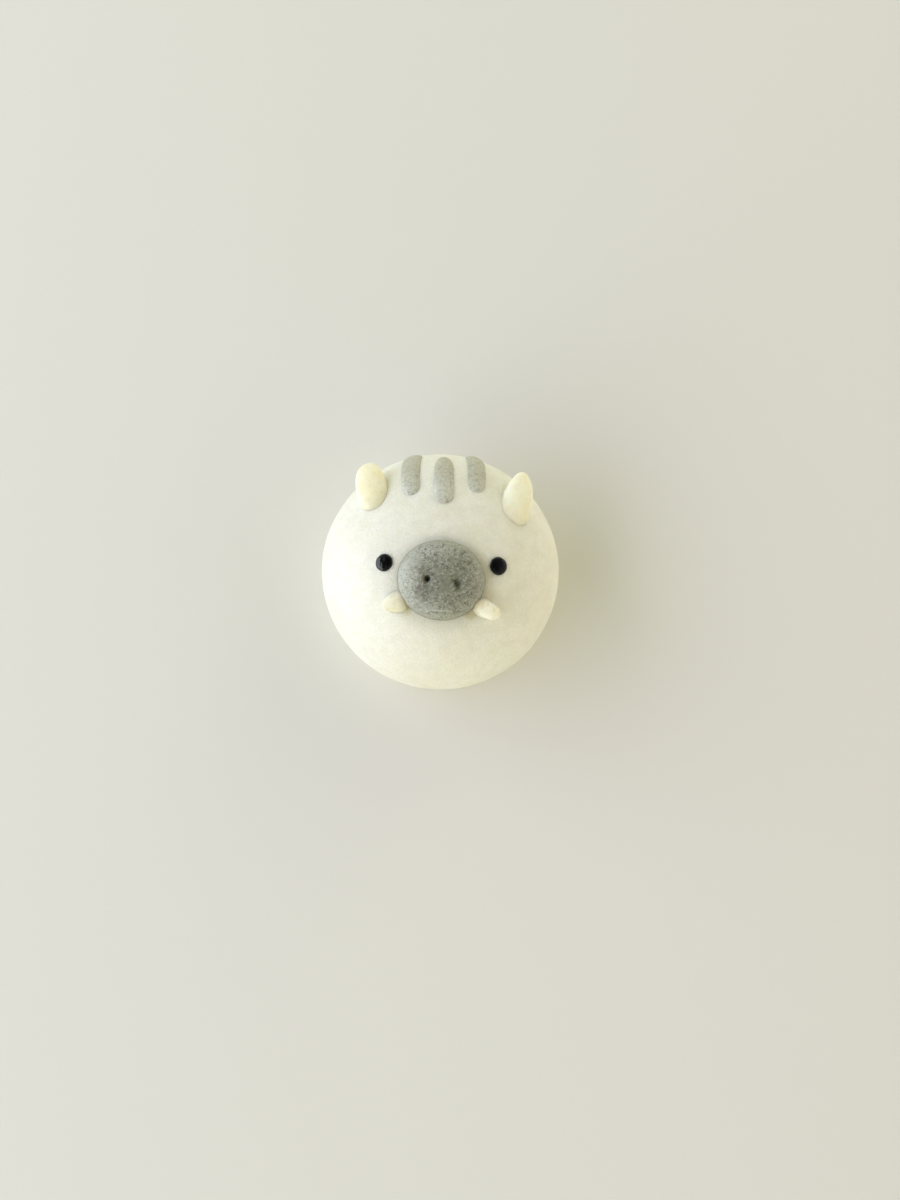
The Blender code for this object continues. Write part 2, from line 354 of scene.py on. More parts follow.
def bun_reach(directions):
    """How far the bun's skin is from the dome's centre in each direction."""
    flat = np.hypot(directions[:, 0], directions[:, 1])
    up = np.maximum(directions[:, 2], 0.0)
    down = np.maximum(-directions[:, 2], NEXT_TO_NOTHING)
    powers = (flat / BUN_RADIUS) ** DOME_FULLNESS + (up / DOME_HEIGHT) ** DOME_FULLNESS
    dome = powers ** (-1 / DOME_FULLNESS)
    square = (flat / TUCK) ** 2 + (down / EQUATOR_HEIGHT) ** 2
    half_linear = BASE_RADIUS * flat / TUCK ** 2
    constant = (BASE_RADIUS / TUCK) ** 2 - 1.0
    side = (half_linear + np.sqrt(np.maximum(half_linear ** 2 - square * constant, 0.0))) / square
    base = EQUATOR_HEIGHT / down
    below = np.where(flat * base < BASE_RADIUS, base, side)
    return np.where(directions[:, 2] > 0.0, dome, below)


def bun_points(directions):
    """The points of the bun's skin in each direction."""
    return DOME_CENTRE + directions * bun_reach(directions)[:, None]


def skin_height(points):
    """How far points are out from the bun's skin, seen from the dome's centre."""
    offsets = points - DOME_CENTRE
    distance = np.linalg.norm(offsets, axis=1)
    return distance - bun_reach(offsets / distance[:, None])


def bun_normals(points):
    """The directions straight out of the dome at points on it."""
    offsets = points - DOME_CENTRE
    radius = np.maximum(np.hypot(offsets[:, 0], offsets[:, 1]), NEXT_TO_NOTHING)
    slope = (radius / BUN_RADIUS) ** (DOME_FULLNESS - 1.0) / BUN_RADIUS / radius
    rise = (np.maximum(offsets[:, 2], 0.0) / DOME_HEIGHT) ** (DOME_FULLNESS - 1.0) / DOME_HEIGHT
    normals = np.stack([offsets[:, 0] * slope, offsets[:, 1] * slope, rise], axis=1)
    return normals / np.linalg.norm(normals, axis=1)[:, None]


print(f"bun {2 * BUN_RADIUS / MM:.1f} mm across and {BUN_HEIGHT / MM:.1f} mm high")

# %% [markdown]
# ## Places on the dome
# Each piece of the face sits somewhere on the dome. Its place could be three numbers, but
# then it might float. Here it is two, a point of the plan, and the dome gives the height
# and three directions: across the piece, along it, and straight out of the dome. Along
# is where the piece's upper end points, and it can lean out of the dome, as an ear does.

# %% Places on the dome
def over(place):
    """The point of the dome straight above a place (x, y)."""
    flat = (math.hypot(*place) / BUN_RADIUS) ** DOME_FULLNESS
    return np.array([*place, EQUATOR_HEIGHT + DOME_HEIGHT * (1.0 - flat) ** (1.0 / DOME_FULLNESS)])


def heading(degrees):
    """A level direction, counted from the right."""
    return np.array([math.cos(math.radians(degrees)), math.sin(math.radians(degrees)), 0.0])


def axes_at(point, towards, lean=0.0):
    """Across, along and outward directions at a point, with along raised by lean."""
    out = bun_normals(point[None])[0]
    along = towards - out * np.dot(towards, out)
    along /= np.linalg.norm(along)
    across = np.cross(along, out)
    tip = along * math.cos(lean) + out * math.sin(lean)
    return np.stack([across, tip, np.cross(across, tip)])


def turned(axes, degrees):
    """Axes turned about the outward one."""
    angle = math.radians(degrees)
    across, along, out = axes
    return np.stack([across * math.cos(angle) + along * math.sin(angle),
                     along * math.cos(angle) - across * math.sin(angle), out])


print("top of the dome at", [round(c / MM, 1) for c in over((0.0, 0.0))], "mm")

# %% Where the snout sits
SNOUT_PLACE = mm(0.25, -6.0)
SNOUT_HEADING = 85.0
SNOUT_HALF_SIZE = mm(8.05, 7.28)
SNOUT_PROUD = 2.8 * MM
SNOUT_LIFT = 0.35 * MM
snout_middle = over(SNOUT_PLACE)
snout_axes = axes_at(snout_middle, heading(SNOUT_HEADING))


def on_snout(x, y, height=0.0):
    """The point that far across, along and above the snout's middle."""
    return snout_middle + snout_axes[0] * x + snout_axes[1] * y + snout_axes[2] * height


def from_snout(point, axes=snout_axes):
    """How far across, along and above the snout's middle a point is."""
    return axes @ (np.array(point) - snout_middle)


print("snout at", [round(c / MM, 1) for c in snout_middle], "mm")

# %% [markdown]
# The ears and tusks were made by hand, so none is a mirror of another: each has its own
# place, heading, lean and size. An ear is also rolled a little about its own length, so
# that it shows its broad side. Taper makes an egg narrower towards its tip, and a blunt
# egg has rounder ends than a ball.

# %% Where the ears and tusks sit
CREAM_PIECES = {
    "ear_left": dict(place=mm(-12.9, 13.5), heading=105.0, lean=20.0, roll=-18.0, lift=1.3 * MM,
                     half_size=mm(2.87, 5.2, 1.8), taper=0.04, blunt=3.0),
    "ear_right": dict(place=mm(14.65, 11.2), heading=75.0, lean=25.0, roll=20.0, lift=1.1 * MM,
                      half_size=mm(2.83, 5.65, 1.7), taper=0.28, blunt=2.5),
    "tusk_left": dict(place=mm(-8.3, -10.08), heading=195.0, lean=8.0, roll=0.0, lift=0.5 * MM,
                      half_size=mm(1.81, 2.5, 1.25), taper=0.32, blunt=2.3),
    "tusk_right": dict(place=mm(8.75, -11.3), heading=-28.0, lean=14.0, roll=0.0, lift=1.0 * MM,
                       half_size=mm(1.5, 2.75, 1.5), taper=0.05, blunt=2.9),
}


def seat(values):
    """The middle and axes of an ear or tusk that sits on the dome."""
    middle = over(values["place"])
    across, along, out = axes_at(middle, heading(values["heading"]), math.radians(values["lean"]))
    cos, sin = math.cos(math.radians(values["roll"])), math.sin(math.radians(values["roll"]))
    axes = np.stack([across * cos + out * sin, along, out * cos - across * sin])
    return middle + out * values["lift"], axes


for name, values in CREAM_PIECES.items():
    print(f"{name} at", [round(c / MM, 1) for c in seat(values)[0]], "mm")

# %% [markdown]
# ## White steamed dough
# The skin of a steamed bun is an off-white that leans to cream. Light goes a millimetre
# or two into it and comes out again, which softens every shadow: that is subsurface
# scattering. Close up it is not one colour. There are slow, faint clouds where the dough
# is denser, smaller mottles, a fine grain of starch and a few tiny specks, and pores too
# small to see one by one, which break up the gloss. A single cream colour would look like
# plastic, so each kind of mark is laid over the skin, faintly.

# %% White dough
DOUGH_SKIN = {"Subsurface Weight": 0.4, "Subsurface Radius": (1.0, 0.8, 0.5),
              "Subsurface Scale": 1.4 * MM, "Specular IOR Level": 0.5}
DOUGH_CLOUDS = dict(detail=3.0, edges=(0.35, 0.65))
STARCH = dict(size=0.4 * MM, detail=3.0, rough=0.65, edges=(0.3, 0.7))

white_dough = Finish("white_dough", DOUGH_SKIN)
clouds = white_dough.marks(size=9 * MM, **DOUGH_CLOUDS)
mottles = white_dough.marks(size=2.2 * MM, detail=3.0, rough=0.6, edges=(0.35, 0.7))
starch = white_dough.marks(**STARCH)
specks = white_dough.dots(5.5 * MM, edges=(0.02, 0.045))
pores = white_dough.dots(0.55 * MM, edges=(0.10, 0.28))
skin = white_dough.blend(tone(243, 242, 222), tone(247, 246, 230), clouds)
skin = white_dough.cover(skin, [
    (mottles, tone(229, 227, 202), 0.42),
    (starch, tone(224, 222, 197), 0.38),
    (specks, tone(170, 168, 148), 0.30),
])
print("white skin: clouds, mottles, starch, specks and pores")

# %% [markdown]
# Round the pieces the skin is painted darker, as painted shade: a grey one round the snout,
# whose rim shades the skin, and a faint olive one round each ear and tusk. Near the tusks'
# roots there are also three olive spots. These have places of their own, so they are eggs
# and balls of space set on the dome, fading out.

# %% Painted shade round the pieces, and olive spots
SNOUT_SHADE_SHIFT = mm(0.2, -1.0)
SNOUT_SHADE_DEPTH = 6.0 * MM
SNOUT_SHADE_REACH = 1.6
EAR_AND_TUSK_SHADE_EDGES = (0.7, 1.9)
OLIVE_SPOTS = [
    dict(place=mm(5.9, -11.9), radius=2.0 * MM, share=0.6),
    dict(place=mm(8.7, -8.8), radius=2.0 * MM, share=0.2),
    dict(place=mm(-6.5, -11.3), radius=1.8 * MM, share=0.5),
]

# painted shade: a grey contact shadow on the skin round the snout
around = white_dough.egg(on_snout(*SNOUT_SHADE_SHIFT), snout_axes, (*SNOUT_HALF_SIZE, SNOUT_SHADE_DEPTH))
snout_shade = white_dough.fall(around, 1.0, SNOUT_SHADE_REACH ** 2)
skin = white_dough.cover(skin, [(snout_shade * snout_shade, tone(196, 195, 169), 0.38)])
# painted shade: a faint olive darkening on the skin round each ear and tusk
for values in CREAM_PIECES.values():
    around = white_dough.egg(*seat(values), values["half_size"])
    ear_and_tusk_shade = white_dough.fall(around, *EAR_AND_TUSK_SHADE_EDGES)
    skin = white_dough.cover(skin, [(ear_and_tusk_shade, tone(214, 206, 160), 0.22)])
# olive spots that darken the skin near the tusks' roots
for olive_spot in OLIVE_SPOTS:
    around = white_dough.egg(over(olive_spot["place"]), np.eye(3), [olive_spot["radius"]] * 3)
    spot = white_dough.fall(around, 0.0, 1.0)
    skin = white_dough.cover(skin, [(spot, tone(196, 184, 132), olive_spot["share"])])
white_dough.wear(
    base_color=skin,
    roughness=0.48 + starch * 0.10 + pores * 0.08,
    normal=white_dough.relief(starch - pores * 0.6, 0.045 * MM),
)

# %% [markdown]
# ## Flecks of powder
# The snout's dough is kneaded with dark powder that never quite mixes in. It is full of
# curled flecks about a quarter of a millimetre across, some dark and some pale. Plain
# round dots would look like poppy seeds, so a fleck is a piece of the line along which a
# slow random value is one half: such lines are thin and curl.

# %% Flecks
CURL_EDGES, BREAK_EDGES = (0.01, 0.055), (0.42, 0.58)
DARK_CURLS = dict(size=1.0 * MM, length=0.7 * MM)
PALE_CURLS = dict(size=0.83 * MM, length=0.55 * MM)
FLECK_GRAINS = dict(size=0.3 * MM, detail=2.0, rough=0.6, curl=0.6, edges=(0.38, 0.62))
FLECK_SPOTS = dict(size=0.9 * MM, detail=3.0, rough=0.6, curl=0.5, edges=(0.52, 0.68))


def curls(finish, size, length):
    """Short thin curls, broken off at about that length."""
    line = finish.fall(abs(finish.grain(size, detail=1.5, curl=0.6) - 0.5), *CURL_EDGES)
    return line * finish.marks(size=length, edges=BREAK_EDGES)


def flecked(finish, colour, dark, pale, share):
    """The colour with curls and fine grains of dark and pale powder."""
    return finish.cover(colour, [
        (finish.marks(**FLECK_GRAINS), dark, 0.35 * share),
        (finish.marks(**FLECK_SPOTS), dark, 0.65 * share),
        (curls(finish, **DARK_CURLS), dark, share),
        (curls(finish, **PALE_CURLS), pale, 0.6 * share),
    ])


print(f"curls of dark powder every {DARK_CURLS['size'] / MM:.1f} mm or so")

# %% [markdown]
# ## The snout's grey clouds and painted shade
# Under its flecks the snout is cloudy and painted with light and shade. It is darker in the
# middle, mostly painted shade, and along its upper right rim, painted shade; paler at the
# left where the window shines over it; and smoky round the nostrils, where the stick dragged
# the powder down, with painted shade of the dents mixed in. One random cloud would put these
# anywhere, so each is a soft egg on the snout with its own place, size and turn. Smoke has a
# ragged edge, which the others haven't.

# %% Clouds, smoke and painted shade on the snout
GREY_SKIN = {**DOUGH_SKIN, "Subsurface Weight": 0.25, "Specular IOR Level": 0.85}
MARK_DEPTH = 3.0 * MM
RAGGED_LEAST, RAGGED_MORE = 0.45, 0.7
VEIL = dict(place=mm(-7.4, 1.0), half_size=mm(5.8, 6.8), turn=0.0)
VEIL_COLOUR = tone(208, 210, 195)
CLOUDS_AND_SHADE = [
    # painted shade, mostly: the dark middle, with some of the dough's own grey
    dict(place=mm(2.0, -0.6), half_size=mm(9.2, 5.9), turn=0.0, colour=tone(138, 139, 119), share=0.9),
    dict(place=mm(6.9, -4.4), half_size=mm(1.9, 2.6), turn=-35.0, colour=tone(186, 181, 146), share=0.5),
    dict(place=mm(-2.2, 5.6), half_size=mm(6.0, 2.6), turn=10.0, colour=tone(192, 193, 178), share=0.6),
    dict(place=mm(6.6, 1.6), half_size=mm(1.9, 5.0), turn=15.0, colour=tone(176, 176, 154), share=0.5),
    # painted shade: the shaded rim at the upper right
    dict(place=mm(4.9, 5.8), half_size=mm(2.2, 0.9), turn=-40.0, colour=tone(96, 98, 74), share=0.5),
    dict(place=mm(4.0, -6.3), half_size=mm(2.6, 1.4), turn=30.0, colour=tone(100, 102, 78), share=0.45),
]
# smoke round the nostrils: darker powder, partly painted shade of the dents round them
SMOKE_AND_SHADE = [
    dict(place=mm(-3.1, 0.2), half_size=mm(1.8, 2.5), turn=24.0, colour=tone(84, 86, 60), share=0.75),
    dict(place=mm(-3.1, -2.6), half_size=mm(2.0, 3.4), turn=5.0, colour=tone(88, 90, 66), share=0.65),
    dict(place=mm(3.0, -0.7), half_size=mm(1.4, 2.2), turn=27.0, colour=tone(80, 82, 54), share=0.6),
]

grey_dough = Finish("grey_dough", GREY_SKIN)


def snout_mark(values, start=0.0, end=1.0):
    """A soft egg-shaped mark on the snout: 1 inside start, 0 beyond end."""
    middle = on_snout(*values["place"], SNOUT_PROUD)
    mark = grey_dough.egg(middle, turned(snout_axes, values["turn"]), (*values["half_size"], MARK_DEPTH))
    return grey_dough.fall(mark, start, end)


slow = grey_dough.marks(size=2.6 * MM, detail=3.0, rough=0.6, edges=(0.35, 0.65))
holes = grey_dough.marks(size=0.9 * MM, detail=3.0, rough=0.6, edges=(0.3, 0.65))
ragged = holes * RAGGED_MORE + RAGGED_LEAST
veil = snout_mark(VEIL)
grey = grey_dough.blend(tone(160, 161, 141), tone(174, 175, 155), slow)
grey = grey_dough.cover(grey, [(veil, VEIL_COLOUR, 0.08)])
for snout_tint in CLOUDS_AND_SHADE:
    grey = grey_dough.cover(grey, [(snout_mark(snout_tint), snout_tint["colour"], snout_tint["share"])])
for smoke in SMOKE_AND_SHADE:
    grey = grey_dough.cover(grey, [(snout_mark(smoke) * ragged, smoke["colour"], smoke["share"])])
print(f"snout: {len(CLOUDS_AND_SHADE)} clouds and {len(SMOKE_AND_SHADE)} patches of smoke")

# %% [markdown]
# ## The snout's flecks and rim
# Over the clouds come the flecks, a thin veil of daylight that pales them at the left, and
# the few grains of powder that are big enough to be seen one by one. Where the dough
# thins out towards its rim, the white below shines through and it is paler. The rim's own
# edge, where it curls in, is painted as a thin dark line of shade. The mesh keeps its
# thickness over the bun at every point, so both follow the rim by themselves.

# %% Flecks, grains and rim of the snout
FLECK_SHARE = 0.85
GRAIN_EDGES, GRAIN_SHARE = (0.1, 1.6), 0.75
POWDER_GRAINS = [
    dict(place=mm(5.05, 3.2), half_size=mm(0.62, 0.38), turn=35.0, colour=tone(92, 95, 74)),
    dict(place=mm(4.0, 5.2), half_size=mm(0.6, 0.32), turn=-35.0, colour=tone(96, 100, 78)),
    dict(place=mm(3.9, 2.0), half_size=mm(0.75, 0.3), turn=15.0, colour=tone(100, 103, 82)),
    dict(place=mm(-1.4, 4.1), half_size=mm(0.45, 0.3), turn=0.0, colour=tone(96, 98, 80)),
    dict(place=mm(-1.6, 0.35), half_size=mm(0.4, 0.3), turn=20.0, colour=tone(72, 72, 58)),
    dict(place=mm(-3.9, -2.4), half_size=mm(0.6, 0.4), turn=-10.0, colour=tone(118, 104, 94)),
    dict(place=mm(-4.3, -3.1), half_size=mm(0.4, 0.35), turn=0.0, colour=tone(122, 106, 98)),
]
PALE_RIM_EDGES, PAINTED_RIM_SHADE_EDGES = (1.1, 2.3), (0.7, 1.4)

grey = flecked(grey_dough, grey, tone(87, 89, 71), tone(204, 206, 190), FLECK_SHARE)
grey = grey_dough.cover(grey, [(veil, VEIL_COLOUR, 0.2)])
for grain in POWDER_GRAINS:
    grey = grey_dough.cover(grey, [(snout_mark(grain, *GRAIN_EDGES), grain["colour"], GRAIN_SHARE)])
thick = grey_dough.thickness()
grey = grey_dough.cover(grey, [
    (grey_dough.fall(thick, *PALE_RIM_EDGES), tone(172, 173, 154), 0.5),
    # painted shade: a thin dark line at the rim's edge, where it curls in
    (grey_dough.fall(thick, *PAINTED_RIM_SHADE_EDGES), tone(84, 86, 68), 1.0),
])
print(f"snout: {len(POWDER_GRAINS)} big grains, rim dark up to {PAINTED_RIM_SHADE_EDGES[1]} mm thick")

# %% [markdown]
# ## Nostrils and a fold
# Inside a nostril a dark brown is painted, as painted shade, and the skin round it has dried
# matt. Shadow alone would leave the holes grey, so each gets a dark egg-shaped place of its
# own size and turn. Along the snout's lower rim the pressed dough folded over itself into a
# thin ridge: a pale line of painted highlight on it, with darker lines of painted shade
# below and beside it. The same values shape the mesh further down.

# %% Nostrils and the fold in colour
NOSTRILS = [
    dict(place=mm(-2.5, -0.4), half_size=mm(0.58, 0.63), turn=0.0, depth=1.1 * MM,
         colour=tone(58, 44, 24), share=0.88),
    dict(place=mm(3.1, -0.8), half_size=mm(0.52, 0.88), turn=27.0, depth=0.55 * MM,
         colour=tone(50, 50, 30), share=0.72),
]
HOLE_EDGES, MATT_EDGES = (0.2, 2.0), (1.0, 5.0)
PAINTED_FOLD_LINES = [
    # the pale line is a painted highlight on the fold's ridge; the two darker ones are painted shade
    dict(place=mm(0.6, -6.05), half_size=mm(2.9, 0.22), turn=2.0, colour=tone(200, 201, 184), share=0.5),
    dict(place=mm(0.6, -6.45), half_size=mm(3.4, 0.22), turn=2.0, colour=tone(112, 113, 95), share=0.35),
    dict(place=mm(4.1, -5.9), half_size=mm(1.5, 0.22), turn=2.0, colour=tone(96, 98, 80), share=0.5),
]
FOLD_EDGES = (0.0, 1.2)

matt = 0.0
for nostril in NOSTRILS:
    # painted shade in each hole, dark brown
    hole_shade = snout_mark(nostril, *HOLE_EDGES)
    grey = grey_dough.cover(grey, [(hole_shade, nostril["colour"], nostril["share"])])
    matt = snout_mark(nostril, *MATT_EDGES) + matt
# painted highlight and painted shade along the fold
for line in PAINTED_FOLD_LINES:
    grey = grey_dough.cover(grey, [(snout_mark(line, *FOLD_EDGES), line["colour"], line["share"])])
grey_dough.wear(
    base_color=grey,
    roughness=0.48 + grey_dough.grain(0.5 * MM) * 0.1 + matt * 0.4,
    normal=grey_dough.relief(grey_dough.grain(0.4 * MM, detail=3.0), 0.05 * MM),
)

# %% [markdown]
# ## Pale grey dough
# The stripes are the snout's dough with much less powder. They could wear the same
# finish, but they are paler and drier, so it is made again from paler tones, fewer
# flecks and less gloss. Towards the face, where the light of the room is weaker, they are
# painted a little lighter: painted light.

# %% Pale grey dough
FACE_SIDE, FACE_FADE = 9.0 * MM, 7.0 * MM

pale_grey_dough = Finish("pale_grey_dough", {**GREY_SKIN, "Specular IOR Level": 0.4})
from_face = pale_grey_dough.egg((0.0, FACE_SIDE, 0.0), [(0.0, 1.0, 0.0)], [FACE_FADE])
# painted light: a little lighter towards the face
pale_grey = pale_grey_dough.blend(tone(206, 207, 188), tone(195, 193, 171),
                                  pale_grey_dough.rise(from_face, 0.0, 1.0))
pale_grey = flecked(pale_grey_dough, pale_grey, tone(146, 147, 128), tone(224, 225, 209), 0.6)
pale_grey_dough.wear(
    base_color=pale_grey,
    roughness=0.6 + pale_grey_dough.grain(0.5 * MM) * 0.1,
    normal=pale_grey_dough.relief(pale_grey_dough.grain(0.4 * MM, detail=3.0), 0.04 * MM),
)

# %% [markdown]
# ## Cream dough
# The ears are the white dough with a little yolk colour, and the tusks have less of it.
# They are so small that light goes right through them, so they scatter it deeper than the
# bun and hardly shine. One cream for all four would be simpler, but each was rolled from
# its own pinch of dough: each has its own light and deep tone, and is damp and yellower in
# its wrinkles. At its foot and at its thick end it is painted darker and yellower, by a share
# of its own: painted shade where it meets the head, and on the tusks, where the snout
# shades them.

# %% Cream dough
CREAM_SKIN = {**DOUGH_SKIN, "Subsurface Weight": 0.7, "Subsurface Radius": (1.0, 0.85, 0.6),
              "Subsurface Scale": 2.5 * MM, "Specular IOR Level": 0.15}
STARCH_SHARE, WRINKLE_SHARE = 0.5, 0.4
WRINKLE_CURLS = dict(size=1.3 * MM, length=1.1 * MM)
FOOT_THICKNESS = 2.0
# Painted shade: the last two numbers darken each piece at its foot and at its thick end.
CREAM_TONES = {
    "ear_left": dict(light=tone(251, 245, 214), deep=tone(248, 241, 204), damp_and_shade=tone(236, 226, 180),
                     foot_shade=0.1, root=0.1),
    "ear_right": dict(light=tone(254, 247, 221), deep=tone(252, 244, 212), damp_and_shade=tone(236, 227, 186),
                      foot_shade=0.2, root=0.2),
    "tusk_left": dict(light=tone(234, 231, 206), deep=tone(231, 227, 196), damp_and_shade=tone(214, 207, 164),
                      foot_shade=0.1, root=0.4),
    "tusk_right": dict(light=tone(250, 247, 225), deep=tone(247, 243, 217), damp_and_shade=tone(198, 189, 144),
                       foot_shade=0.2, root=0.9),
}


def cream(name, values, light, deep, damp_and_shade, foot_shade, root):
    """A cream dough with painted shade, by the shares foot_shade and root, at its base and thick end."""
    finish = Finish(f"{name}_dough", CREAM_SKIN)
    middle, axes = seat(values)
    half_along = values["half_size"][1]
    thick_end = finish.egg(middle - axes[1] * half_along, axes, [half_along] * 3)
    clouds = finish.marks(size=3.0 * MM, **DOUGH_CLOUDS)
    starch = finish.marks(**STARCH)
    colour = finish.cover(finish.blend(deep, light, clouds), [
        (starch, deep, STARCH_SHARE),
        (curls(finish, **WRINKLE_CURLS), damp_and_shade, WRINKLE_SHARE),
        # painted shade at the foot, where the piece meets the bun
        (finish.fall(finish.thickness(), 0.0, FOOT_THICKNESS), damp_and_shade, foot_shade),
        # painted shade at the thick end; on the tusks, the snout's shadow
        (finish.fall(thick_end, 0.0, 1.0), damp_and_shade, root),
    ])
    finish.wear(
        base_color=colour,
        roughness=0.46 + starch * 0.12,
        normal=finish.relief(starch, 0.03 * MM),
    )
    return finish


cream_doughs = {name: cream(name, values, **CREAM_TONES[name]) for name, values in CREAM_PIECES.items()}

# %% [markdown]
# ## Black dough
# The eyes are dough so full of black powder that nothing shines through. They could be
# plain black, but they were pressed smooth while moist, so what the eye reads is their
# gloss: they show the window as a pale patch. So the finish is a nearly even black with a
# low roughness that varies, which makes the patch uneven as on real dough.

# %% Black dough
black_dough = Finish("black_dough", {"Specular IOR Level": 0.5})
kneaded = black_dough.marks(size=0.5 * MM, detail=3.0, curl=0.5, edges=(0.35, 0.65))
black_dough.wear(
    base_color=black_dough.blend(tone(1, 1, 1), tone(5, 6, 6), kneaded),
    roughness=0.08 + kneaded * 0.10,
    normal=black_dough.relief(kneaded, 0.03 * MM),
)

# %% [markdown]
# ## Dough starts as a ball
# Every piece starts as a ball, as the real ones do. The usual ball of rings and segments
# has two poles where its faces are pinched. A ball from a cube with finely cut sides has
# even square faces and no poles, so it bends into any shape of dough. The helper below
# sends each direction of that ball to a place that a piece's own rule gives. Hand-rolled
# dough is never quite even, so each skin also gets slow, low waves.

# %% Ball of dough
def unit_ball(cells):
    """A ball of radius 1 as a bmesh of even square faces."""
    shape = bmesh.new()
    bmesh.ops.create_cube(shape, size=2.0)
    bmesh.ops.subdivide_edges(shape, edges=shape.edges, cuts=cells - 1, use_grid_fill=True)
    for vertex in shape.verts:
        vertex.co = Vector([math.tan(c * math.pi / 4) for c in vertex.co]).normalized()
    return shape


def shaped_ball(cells, place):
    """A ball whose every direction is sent to the point that place gives."""
    shape = unit_ball(cells)
    directions = np.array([vertex.co for vertex in shape.verts], dtype=float)
    for vertex, point in zip(shape.verts, place(directions)):
        vertex.co = point
    shape.normal_update()
    return shape


SEED_STEP = np.array([3.7, 5.9, 7.3])


def bumps(point, size, seed):
    """A smooth random height between about -1 and 1, with bumps of that size."""
    return noise.noise(Vector(point) / size + Vector(seed * SEED_STEP))


def uneven(*waves):
    """A skin height that sums random waves, each given by its height, size and seed."""
    return lambda point: sum(tall * bumps(point, size, seed) for tall, size, seed in waves)


def swell_skin(shape, height):
    """Moves each point of the skin out by height(point)."""
    shape.normal_update()
    moves = [vertex.normal * height(vertex.co) for vertex in shape.verts]
    for vertex, move in zip(shape.verts, moves):
        vertex.co += move


sample = unit_ball(8)
print("a ball of 8 cells a side has", len(sample.faces), "faces")
sample.free()

# %% [markdown]
# A finished piece takes the place of one node of the imported model. It could be joined to
# the others, but each is a thing of its own, so it rides on the part's one body, hides the
# node it replaces, wears its finish in a material slot, and keeps its thickness over the
# bun's skin as a value of its mesh, for its colour.

# %% A finished piece
def make_piece(name, shape, node, finish):
    """The finished piece, in the place of a node of the model."""
    bmesh.ops.recalc_face_normals(shape, faces=shape.faces)
    mesh = bpy.data.meshes.new(name)
    shape.to_mesh(mesh)
    shape.free()
    mesh.shade_smooth()
    thickness = skin_height(np.array([vertex.co for vertex in mesh.vertices])) / MM
    mesh.attributes.new("thickness", "FLOAT", "POINT").data.foreach_set("value", thickness)
    piece = bpy.data.objects.new(name, mesh)
    bpy.context.scene.collection.objects.link(piece)
    mesh.materials.append(finish.material)
    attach(piece, BODY)
    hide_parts(node)
    print(f"{name}: {len(mesh.polygons)} faces, up to {thickness.max():.1f} mm thick")


print("each piece rides on the body", BODY)

# %% [markdown]
# ## The bun
# The bun is one big ball of dough. A smooth dome would do from afar, but its slow
# unevenness, a tenth of a millimetre, is what the eye reads in the gloss. So the even
# ball is sent along each direction to the bun's skin and then swelled in waves, which
# fade out towards the foot, so that it stays flat. The snout was pressed in, so a very
# shallow valley runs round it.

# %% The bun
BUN_CELLS = 120
FOOT_FADE = 4.0 * MM
VALLEY_DEPTH = 0.05 * MM
VALLEY_AT, VALLEY_WIDTH = 1.02, 0.06
bun_waves = uneven((0.10 * MM, 13 * MM, 1), (0.04 * MM, 4 * MM, 2))


def bun_unevenness(point):
    """How far the bun's skin moves at a point: its waves, less the valley."""
    height = min(max(point.z / FOOT_FADE, 0.0), 1.0) * bun_waves(point)
    x, y, z = from_snout(point)
    ratio = math.hypot(x / SNOUT_HALF_SIZE[0], y / SNOUT_HALF_SIZE[1])
    if z > -SNOUT_SHADE_DEPTH:
        height -= VALLEY_DEPTH * math.exp(-((ratio - VALLEY_AT) / VALLEY_WIDTH) ** 2)
    return height


bun_shape = shaped_ball(BUN_CELLS, bun_points)
swell_skin(bun_shape, bun_unevenness)
make_piece("steamed_bun", bun_shape, "bun_body", white_dough)

# %% [markdown]
# ## Pressing a piece on
# A ball that is pressed onto the dome spreads and follows its curve. A flat pad could be
# shrunk onto the bun with a modifier, but its rim would be sharp. Real dough has its
# widest line a little above the skin, so its rim curls in under itself and leaves a fine
# dark line of shadow. So one rule gives the piece's own form, a pad or a strip, and
# another lays that form on the dome, with its root just under the skin.

# %% Pressed pieces
ROOT_DEPTH = 0.9 * MM


def plump(sines, fullness):
    """Sines pushed out to a fuller curve; a fullness of 2 leaves them round."""
    return np.sign(sines) * np.abs(sines) ** (2.0 / fullness)


def pad(fullness):
    """The form of a pressed ball: a round pad, fuller at its rim than a ball."""

    def form(directions):
        x, y, z = directions.T
        ring = plump(np.hypot(x, y), fullness)
        turn = np.arctan2(y, x)
        return np.stack([ring * np.cos(turn), ring * np.sin(turn), plump(z, fullness)], axis=1)

    return form


def pressed(form, middle, axes, half_size, proud, lift):
    """The rule that lays a form on the dome, proud above it in the middle."""
    spoke = middle - DOME_CENTRE
    outward = spoke / np.linalg.norm(spoke)

    def place(directions):
        x, y, z = form(directions).T
        across, along = half_size[0] * x, half_size[1] * y
        height = lift + np.where(z > 0.0, proud - lift, lift + ROOT_DEPTH) * z
        slide = across[:, None] * axes[0] + along[:, None] * axes[1]
        slide -= np.outer(slide @ outward, outward)
        length = np.maximum(np.linalg.norm(slide, axis=1), NEXT_TO_NOTHING)[:, None]
        swing = (np.hypot(across, along) / np.linalg.norm(spoke))[:, None]
        points = bun_points(outward * np.cos(swing) + slide / length * np.sin(swing))
        return points + bun_normals(points) * height[:, None]

    return place


print(f"roots reach {ROOT_DEPTH / MM} mm under the skin")

# %% [markdown]
# ## The snout
# The snout is the biggest ball, pressed to an oval pad that is turned a little on the
# face. The two nostrils were poked with a stick while the dough was soft: the left one
# straight in, the right one at a slant. They could be cut out, but a stick drags the skin
# down with it and leaves no edge. So the mesh is cut finer there and its skin is moved
# in: a hole in the middle of a wide shallow dent. The fold near the lower rim is a thin
# ridge, raised in the same way.

